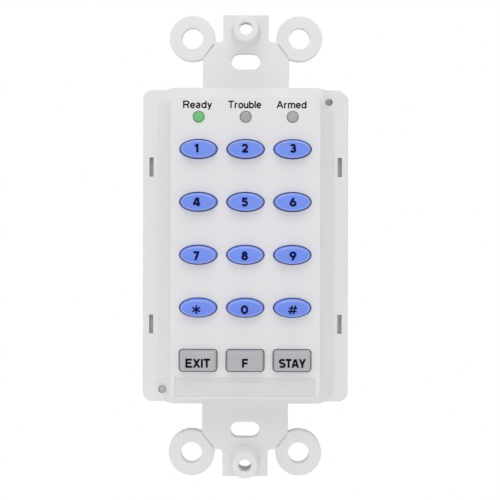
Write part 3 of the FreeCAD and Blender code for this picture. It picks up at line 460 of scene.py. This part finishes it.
def stroke_quads(stroke, weight, stretch):
    """The quads of one stroke of a glyph that is stretched sideways, with its weight kept."""
    kind, *numbers = stroke
    if kind == "arc":
        x, y, wide, tall, first, last = numbers
        x *= stretch
        wide = (wide + weight / 2) * stretch - weight / 2
        closed = abs(last - first) == 360
        steps = ARC_STEPS if closed else max(4, round(ARC_STEPS * abs(last - first) / 360))
        angles = [math.radians(first + (last - first) * i / steps)
                  for i in range(steps if closed else steps + 1)]
        points = [Vector((x + wide * math.cos(angle), y + tall * math.sin(angle)))
                  for angle in angles]
        return band(points, weight, closed)
    x0, y0, x1, y1 = numbers
    x0 *= stretch
    x1 *= stretch
    if kind == "bar":
        return band([Vector((x0, y0)), Vector((x1, y1))], weight, False)
    level = weight / 2 * math.hypot(x1 - x0, y1 - y0) / abs(y1 - y0)
    return [(Vector((x0 - level, y0)), Vector((x0 + level, y0)), Vector((x1 + level, y1)),
             Vector((x1 - level, y1)))]


def lettering(text, glyphs, weight, width, gap):
    """Quads of a word that is stretched to this width, from x = 0 in units of capital height."""
    natural = sum(glyphs[letter][0] for letter in text)
    stretch = (width - gap * (len(text) - 1)) / natural
    quads = []
    pen = 0
    for letter in text:
        size, strokes = glyphs[letter]
        for stroke in strokes:
            for quad in stroke_quads(stroke, weight, stretch):
                quads.append([point + Vector((pen, 0)) for point in quad])
        pen += size * stretch + gap
    return quads


def slab_mesh(name, quads, place):
    """One flat slab with the outline of all the quads together."""
    points = [point for quad in quads for point in quad]
    corners = [[4 * i + j for j in range(4)] for i in range(len(quads))]
    flat, _, faces, _, _, sources = delaunay_2d_cdt(points, [], corners, 1, UNION_TOLERANCE)
    shape = bmesh.new()
    verts = [shape.verts.new(place(point)) for point in flat]
    for face, source in zip(faces, sources):
        if source:
            shape.faces.new([verts[i] for i in face])
    bmesh.ops.delete(shape, geom=[v for v in shape.verts if not v.link_faces], context="VERTS")
    grown = bmesh.ops.extrude_face_region(shape, geom=shape.faces[:])
    for item in grown["geom"]:
        if isinstance(item, bmesh.types.BMVert):
            item.co.y += INK_THICK
    bmesh.ops.recalc_face_normals(shape, faces=shape.faces)
    mesh = bpy.data.meshes.new(name)
    shape.to_mesh(mesh)
    shape.free()
    return mesh


def legend(name, text, style, middle, foot, front, width, gap=0.0):
    """A printed word on its baseline, with its front face this far in front of the wall."""
    glyphs, weight, height = style
    quads = lettering(text, glyphs, weight, width / height, gap)

    def place(point):
        return (middle - width / 2 + point.x * height, -front, foot + point.y * height)
    return slab_mesh(name, quads, place)


# Glyphs, weight in units of capital height, and capital height.
NUMERAL_STYLE = (NUMERALS, 0.265, 1.9 * MM)
SIGN_STYLE = (NUMERALS, 0.185, 1.9 * MM)
CAPITAL_STYLE = (CAPITALS, 0.238, 1.88 * MM)
LABEL_STYLE = (LABELS, 0.19, 1.58 * MM)
NUMERAL_STRETCH = 1.04
LABEL_RISE = 1.9 * MM
LABEL_SHIFT = -0.24 * MM
LABEL_GAP = 0.13
CAPITAL_WIDTHS = {"exit": 5.34 * MM, "f": 1.3 * MM, "stay": 5.8 * MM}
CAPITAL_GAPS = {"exit": 0.09, "f": 0.0, "stay": 0.02}
LABEL_WIDTHS = {"ready": 6.3 * MM, "trouble": 7.2 * MM, "armed": 6.5 * MM}


def make_legends():
    """Numerals on the number keys, words on the function keys and above the lenses."""
    height = NUMERAL_STYLE[2]
    for key, text in NUMBER_KEYS.items():
        low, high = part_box(f"key_{key}")
        centre = (low + high) / 2
        middle = centre.x * PRINT_SPREAD_WIDE + PRINT_SHIFT
        foot = centre.z + PRINT_SPREAD_HIGH * (centre.z - PRINT_LEVEL) - height / 2
        width = NUMERALS[text][0] * NUMERAL_STRETCH * height
        style = SIGN_STYLE if text in "*#" else NUMERAL_STYLE
        mesh = legend(f"legend_{key}", text, style, middle, foot, -low.y, width)
        add_piece(f"legend_{key}", mesh, KEY_INK, f"key_{key}_moving")
    height = CAPITAL_STYLE[2]
    for key, text in FUNCTION_KEYS.items():
        low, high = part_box(f"key_{key}")
        centre = (low + high) / 2
        mesh = legend(f"legend_{key}", text, CAPITAL_STYLE, centre.x + WORD_SHIFT[0],
                      centre.z + WORD_SHIFT[1] - height / 2, -low.y, CAPITAL_WIDTHS[key],
                      CAPITAL_GAPS[key])
        add_piece(f"legend_{key}", mesh, LABEL_INK, f"key_{key}_moving")
    face = -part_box("front_housing")[0].y
    for lens, text in LENSES.items():
        low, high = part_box(f"{lens}_lens")
        centre = (low + high) / 2
        mesh = legend(f"legend_{lens}", text, LABEL_STYLE, centre.x + LABEL_SHIFT,
                      centre.z + LABEL_RISE, face + INK_THICK / 2, LABEL_WIDTHS[lens], LABEL_GAP)
        add_piece(f"legend_{lens}", mesh, LABEL_INK, "housing")


# ---------------------------------------------------------------- silicone webs

WEB_THICK = 0.28 * MM
WEB_FOOT = 0.45 * MM
WEB_KNEE = 0.75
WEB_HEAD = -0.02 * MM
WEB_CORNER = 0.85 * MM
LEAST_CORNER = 0.3 * MM


def make_webs():
    """One web under each key, in place of the hidden CAD webs."""
    mat_front = -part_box("keypad_mat")[0].y
    for key in [*NUMBER_KEYS, *FUNCTION_KEYS]:
        oval = key in NUMBER_KEYS
        low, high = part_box(f"key_{key}")
        centre = (low + high) / 2
        half_wide = (high.x - low.x) / 2
        half_high = (high.z - low.z) / 2
        bottom = -high.y
        knee = WEB_FOOT * WEB_KNEE
        outer = [(WEB_FOOT, mat_front), (knee, mat_front + 0.12 * MM), (WEB_HEAD, bottom)]
        inner = [(WEB_HEAD - WEB_THICK, bottom), (knee - WEB_THICK, mat_front + 0.1 * MM),
                 (WEB_FOOT - WEB_THICK, mat_front)]
        rings = []
        for grow, front in outer + inner:
            if oval:
                rings.append(oval_ring(centre, half_wide + grow, half_high + grow, front))
            else:
                corner = max(WEB_CORNER + grow, LEAST_CORNER)
                rings.append(box_ring(centre, half_wide + grow, half_high + grow, corner, front))
        mesh = stacked_rings(f"web_{key}", rings + rings[:1], closed=False)
        web = add_piece(f"web_{key}", mesh, MATERIALS["silicone"], "housing")
        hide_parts("mat_webs")
        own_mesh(web)


# ---------------------------------------------------------------- stage, light and camera

def make_camera():
    """A camera in front of the object, a little above its middle, with its view shifted down."""
    camera = bpy.data.objects.new("camera", bpy.data.cameras.new("camera"))
    bpy.context.scene.collection.objects.link(camera)
    camera.data.lens = CAMERA_LENS
    camera.data.shift_y = CAMERA_SHIFT
    camera.location = (CAMERA_SIDE, -STRAP_FRONT - CAMERA_DISTANCE, CAMERA_HEIGHT)
    camera.rotation_euler = (math.pi / 2, CAMERA_ROLL, 0)
    camera.data.clip_start = 10 * MM
    bpy.context.scene.camera = camera


def make_world():
    """Even studio light all round, with a plain white backdrop for the camera."""
    world = bpy.data.worlds.new("studio")
    world.use_nodes = True
    nodes = world.node_tree.nodes
    links = world.node_tree.links
    backdrop = nodes["Background"]
    backdrop.inputs["Color"].default_value = (1, 1, 1, 1)
    backdrop.inputs["Strength"].default_value = 1.0
    dome = nodes.new("ShaderNodeBackground")
    dome.inputs["Color"].default_value = (1, 1, 1, 1)
    dome.inputs["Strength"].default_value = DOME_LIGHT
    rays = nodes.new("ShaderNodeLightPath")
    choose = nodes.new("ShaderNodeMixShader")
    links.new(rays.outputs["Is Camera Ray"], choose.inputs[0])
    links.new(dome.outputs[0], choose.inputs[1])
    links.new(backdrop.outputs[0], choose.inputs[2])
    links.new(choose.outputs[0], nodes["World Output"].inputs["Surface"])
    bpy.context.scene.world = world


FLOOR_REACH = 0.6
FLOOR_DROP = 20 * MM


def make_floor():
    """A pale floor, which the camera sees as plain white and which glows softly on the object."""
    mesh = bpy.data.meshes.new("floor")
    level = cad_box[0].z - FLOOR_DROP
    corners = [(x * FLOOR_REACH, y * FLOOR_REACH, level)
               for x, y in ((-1, -1), (1, -1), (1, 1), (-1, 1))]
    mesh.from_pydata(corners, [], [(0, 1, 2, 3)])
    floor = bpy.data.objects.new("floor", mesh)
    bpy.context.scene.collection.objects.link(floor)
    pale = bpy.data.materials.new("pale_floor")
    pale.use_nodes = True
    nodes = pale.node_tree.nodes
    links = pale.node_tree.links
    shader = nodes["Principled BSDF"]
    shader.inputs["Base Color"].default_value = (0.8, 0.8, 0.8, 1)
    shader.inputs["Roughness"].default_value = 0.9
    shader.inputs["Emission Color"].default_value = (1, 1, 1, 1)
    shader.inputs["Emission Strength"].default_value = FLOOR_GLOW
    white = nodes.new("ShaderNodeEmission")
    rays = nodes.new("ShaderNodeLightPath")
    choose = nodes.new("ShaderNodeMixShader")
    links.new(rays.outputs["Is Camera Ray"], choose.inputs[0])
    links.new(shader.outputs[0], choose.inputs[1])
    links.new(white.outputs[0], choose.inputs[2])
    links.new(choose.outputs[0], nodes["Material Output"].inputs["Surface"])
    mesh.materials.append(pale)


LIGHT_DISTANCE = 0.75


def studio_light(name, direction, size, power):
    """A soft square light that points at the object's middle from this direction."""
    place = Vector(direction).normalized() * LIGHT_DISTANCE
    lamp = bpy.data.lights.new(name, "AREA")
    lamp.size = size
    lamp.energy = power
    light = bpy.data.objects.new(name, lamp)
    bpy.context.scene.collection.objects.link(light)
    light.location = place
    light.rotation_euler = (-place).to_track_quat("-Z", "Y").to_euler()


def make_lights():
    """A broad light from above, and weaker ones from the left, the front and the upper right."""
    studio_light("top_light", (0, -0.5, 1), 0.6, 2.45)
    studio_light("left_light", (-1, -0.5, 0.05), 0.3, 0.4)
    studio_light("front_light", (0, -1, 0.1), 0.3, 0.38)
    studio_light("edge_light", (0.7, -0.5, 0.8), 0.12, 0.14)


# ---------------------------------------------------------------- build

make_camera()
dress_cad_nodes()
make_keys()
make_panel()
make_webs()
make_legends()
make_world()
make_floor()
make_lights()
bpy.context.scene.view_settings.view_transform = "Standard"
